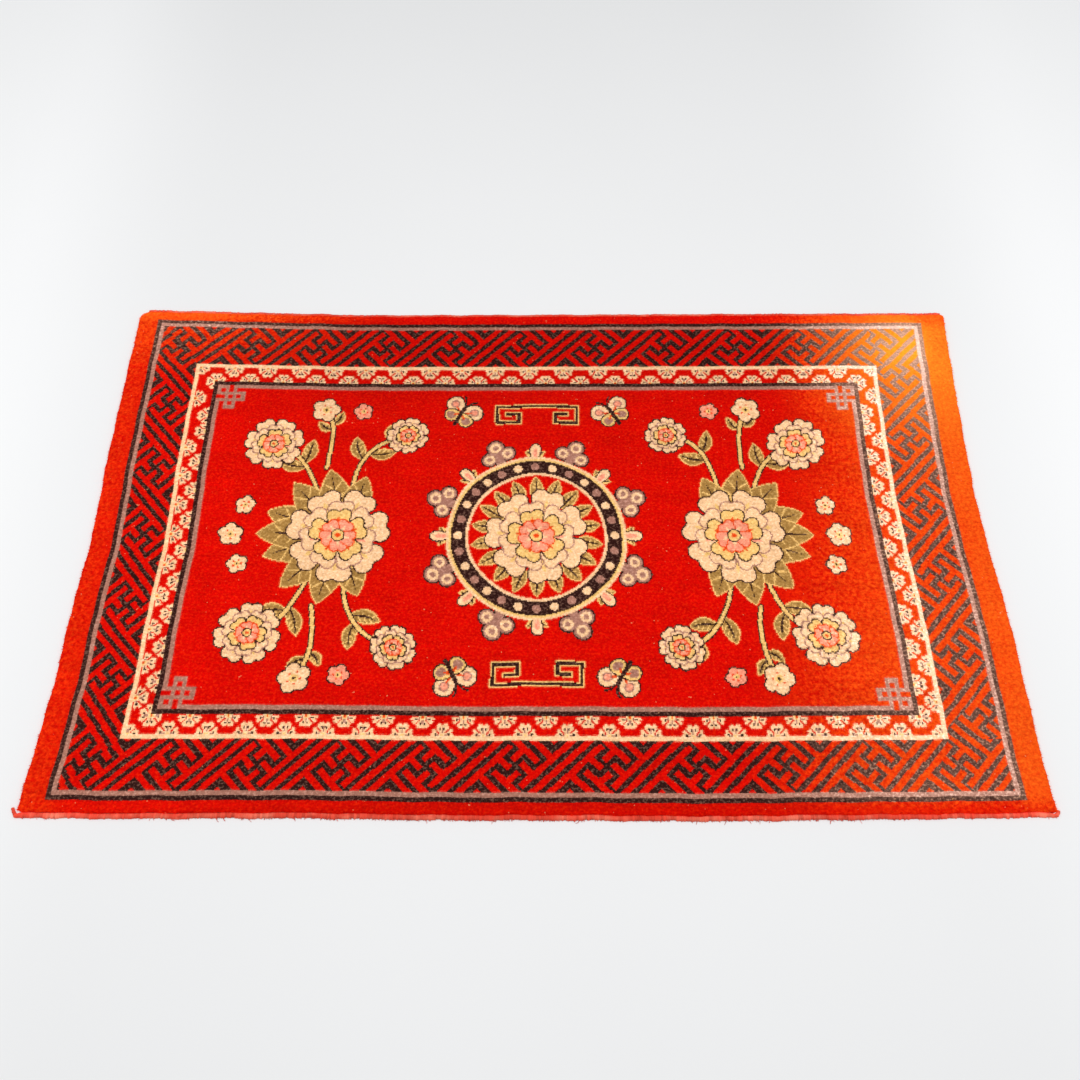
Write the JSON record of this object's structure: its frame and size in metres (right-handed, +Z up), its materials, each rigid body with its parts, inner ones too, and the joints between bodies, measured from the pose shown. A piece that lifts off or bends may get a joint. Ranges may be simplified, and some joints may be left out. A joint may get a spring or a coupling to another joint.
{
  "type": "chinese rug",
  "caption": "Flat hand-knotted wool pile rug with a key-fret border, a flower border and a plain margin, bound along both long ends; lies on a floor.",
  "frame": {"origin": "on the floor, under the middle of the whole rug", "axes": "+X along the rug's long side to the right, +Y from the front edge to the back edge, +Z up out of the pile"},
  "size_m": [1.8708, 1.1586, 0.009],
  "materials": {
    "pile": "clipped wool pile in red, orange-red, cream, dark brown and mauve",
    "binding": "flat woven tape in faded pinkish red, overcast"
  },
  "bodies": {
    "root": {"rug_pile": "pile", "front_binding": "binding", "back_binding": "binding"}
  },
  "joints": []
}
